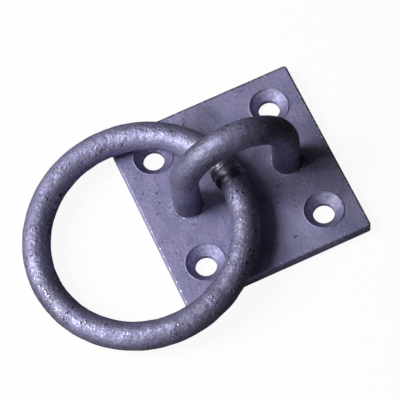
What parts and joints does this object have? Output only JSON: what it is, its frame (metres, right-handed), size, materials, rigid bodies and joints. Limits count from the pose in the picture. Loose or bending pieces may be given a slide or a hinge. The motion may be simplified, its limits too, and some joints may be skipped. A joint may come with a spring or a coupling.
{
  "type": "ring on plate",
  "caption": "Square countersunk mounting plate with a bent round-bar staple through it and a welded round ring that folds over in the staple's eye.",
  "frame": {"origin": "centre of the plate's back face", "axes": "+Z out of the plate's front face, +X along the staple from the side the ring lies on to the other, +Y across the staple"},
  "size_m": [0.091, 0.066, 0.0355],
  "materials": {
    "plate_zinc": "hot-dip galvanised zinc over steel, satin grey with fine pits and bright specks",
    "bar_zinc": "hot-dip galvanised zinc over steel, satin grey with fine pits and bright specks",
    "weld_zinc": "hot-dip galvanised zinc over steel, satin grey with fine pits and bright specks"
  },
  "bodies": {
    "base": {"plate": "plate_zinc", "staple": "bar_zinc", "staple_weld_left": "weld_zinc", "staple_weld_right": "weld_zinc"},
    "loose_ring": {"ring": "bar_zinc", "ring_weld": "weld_zinc"}
  },
  "joints": [
    {"name": "ring_fold", "type": "hinge", "parent": "base", "child": "loose_ring", "pos_m": [-0.0021, 0, 0.01083], "axis": [-0.134, 0.991, 0], "range_deg": [0, 192]}
  ]
}
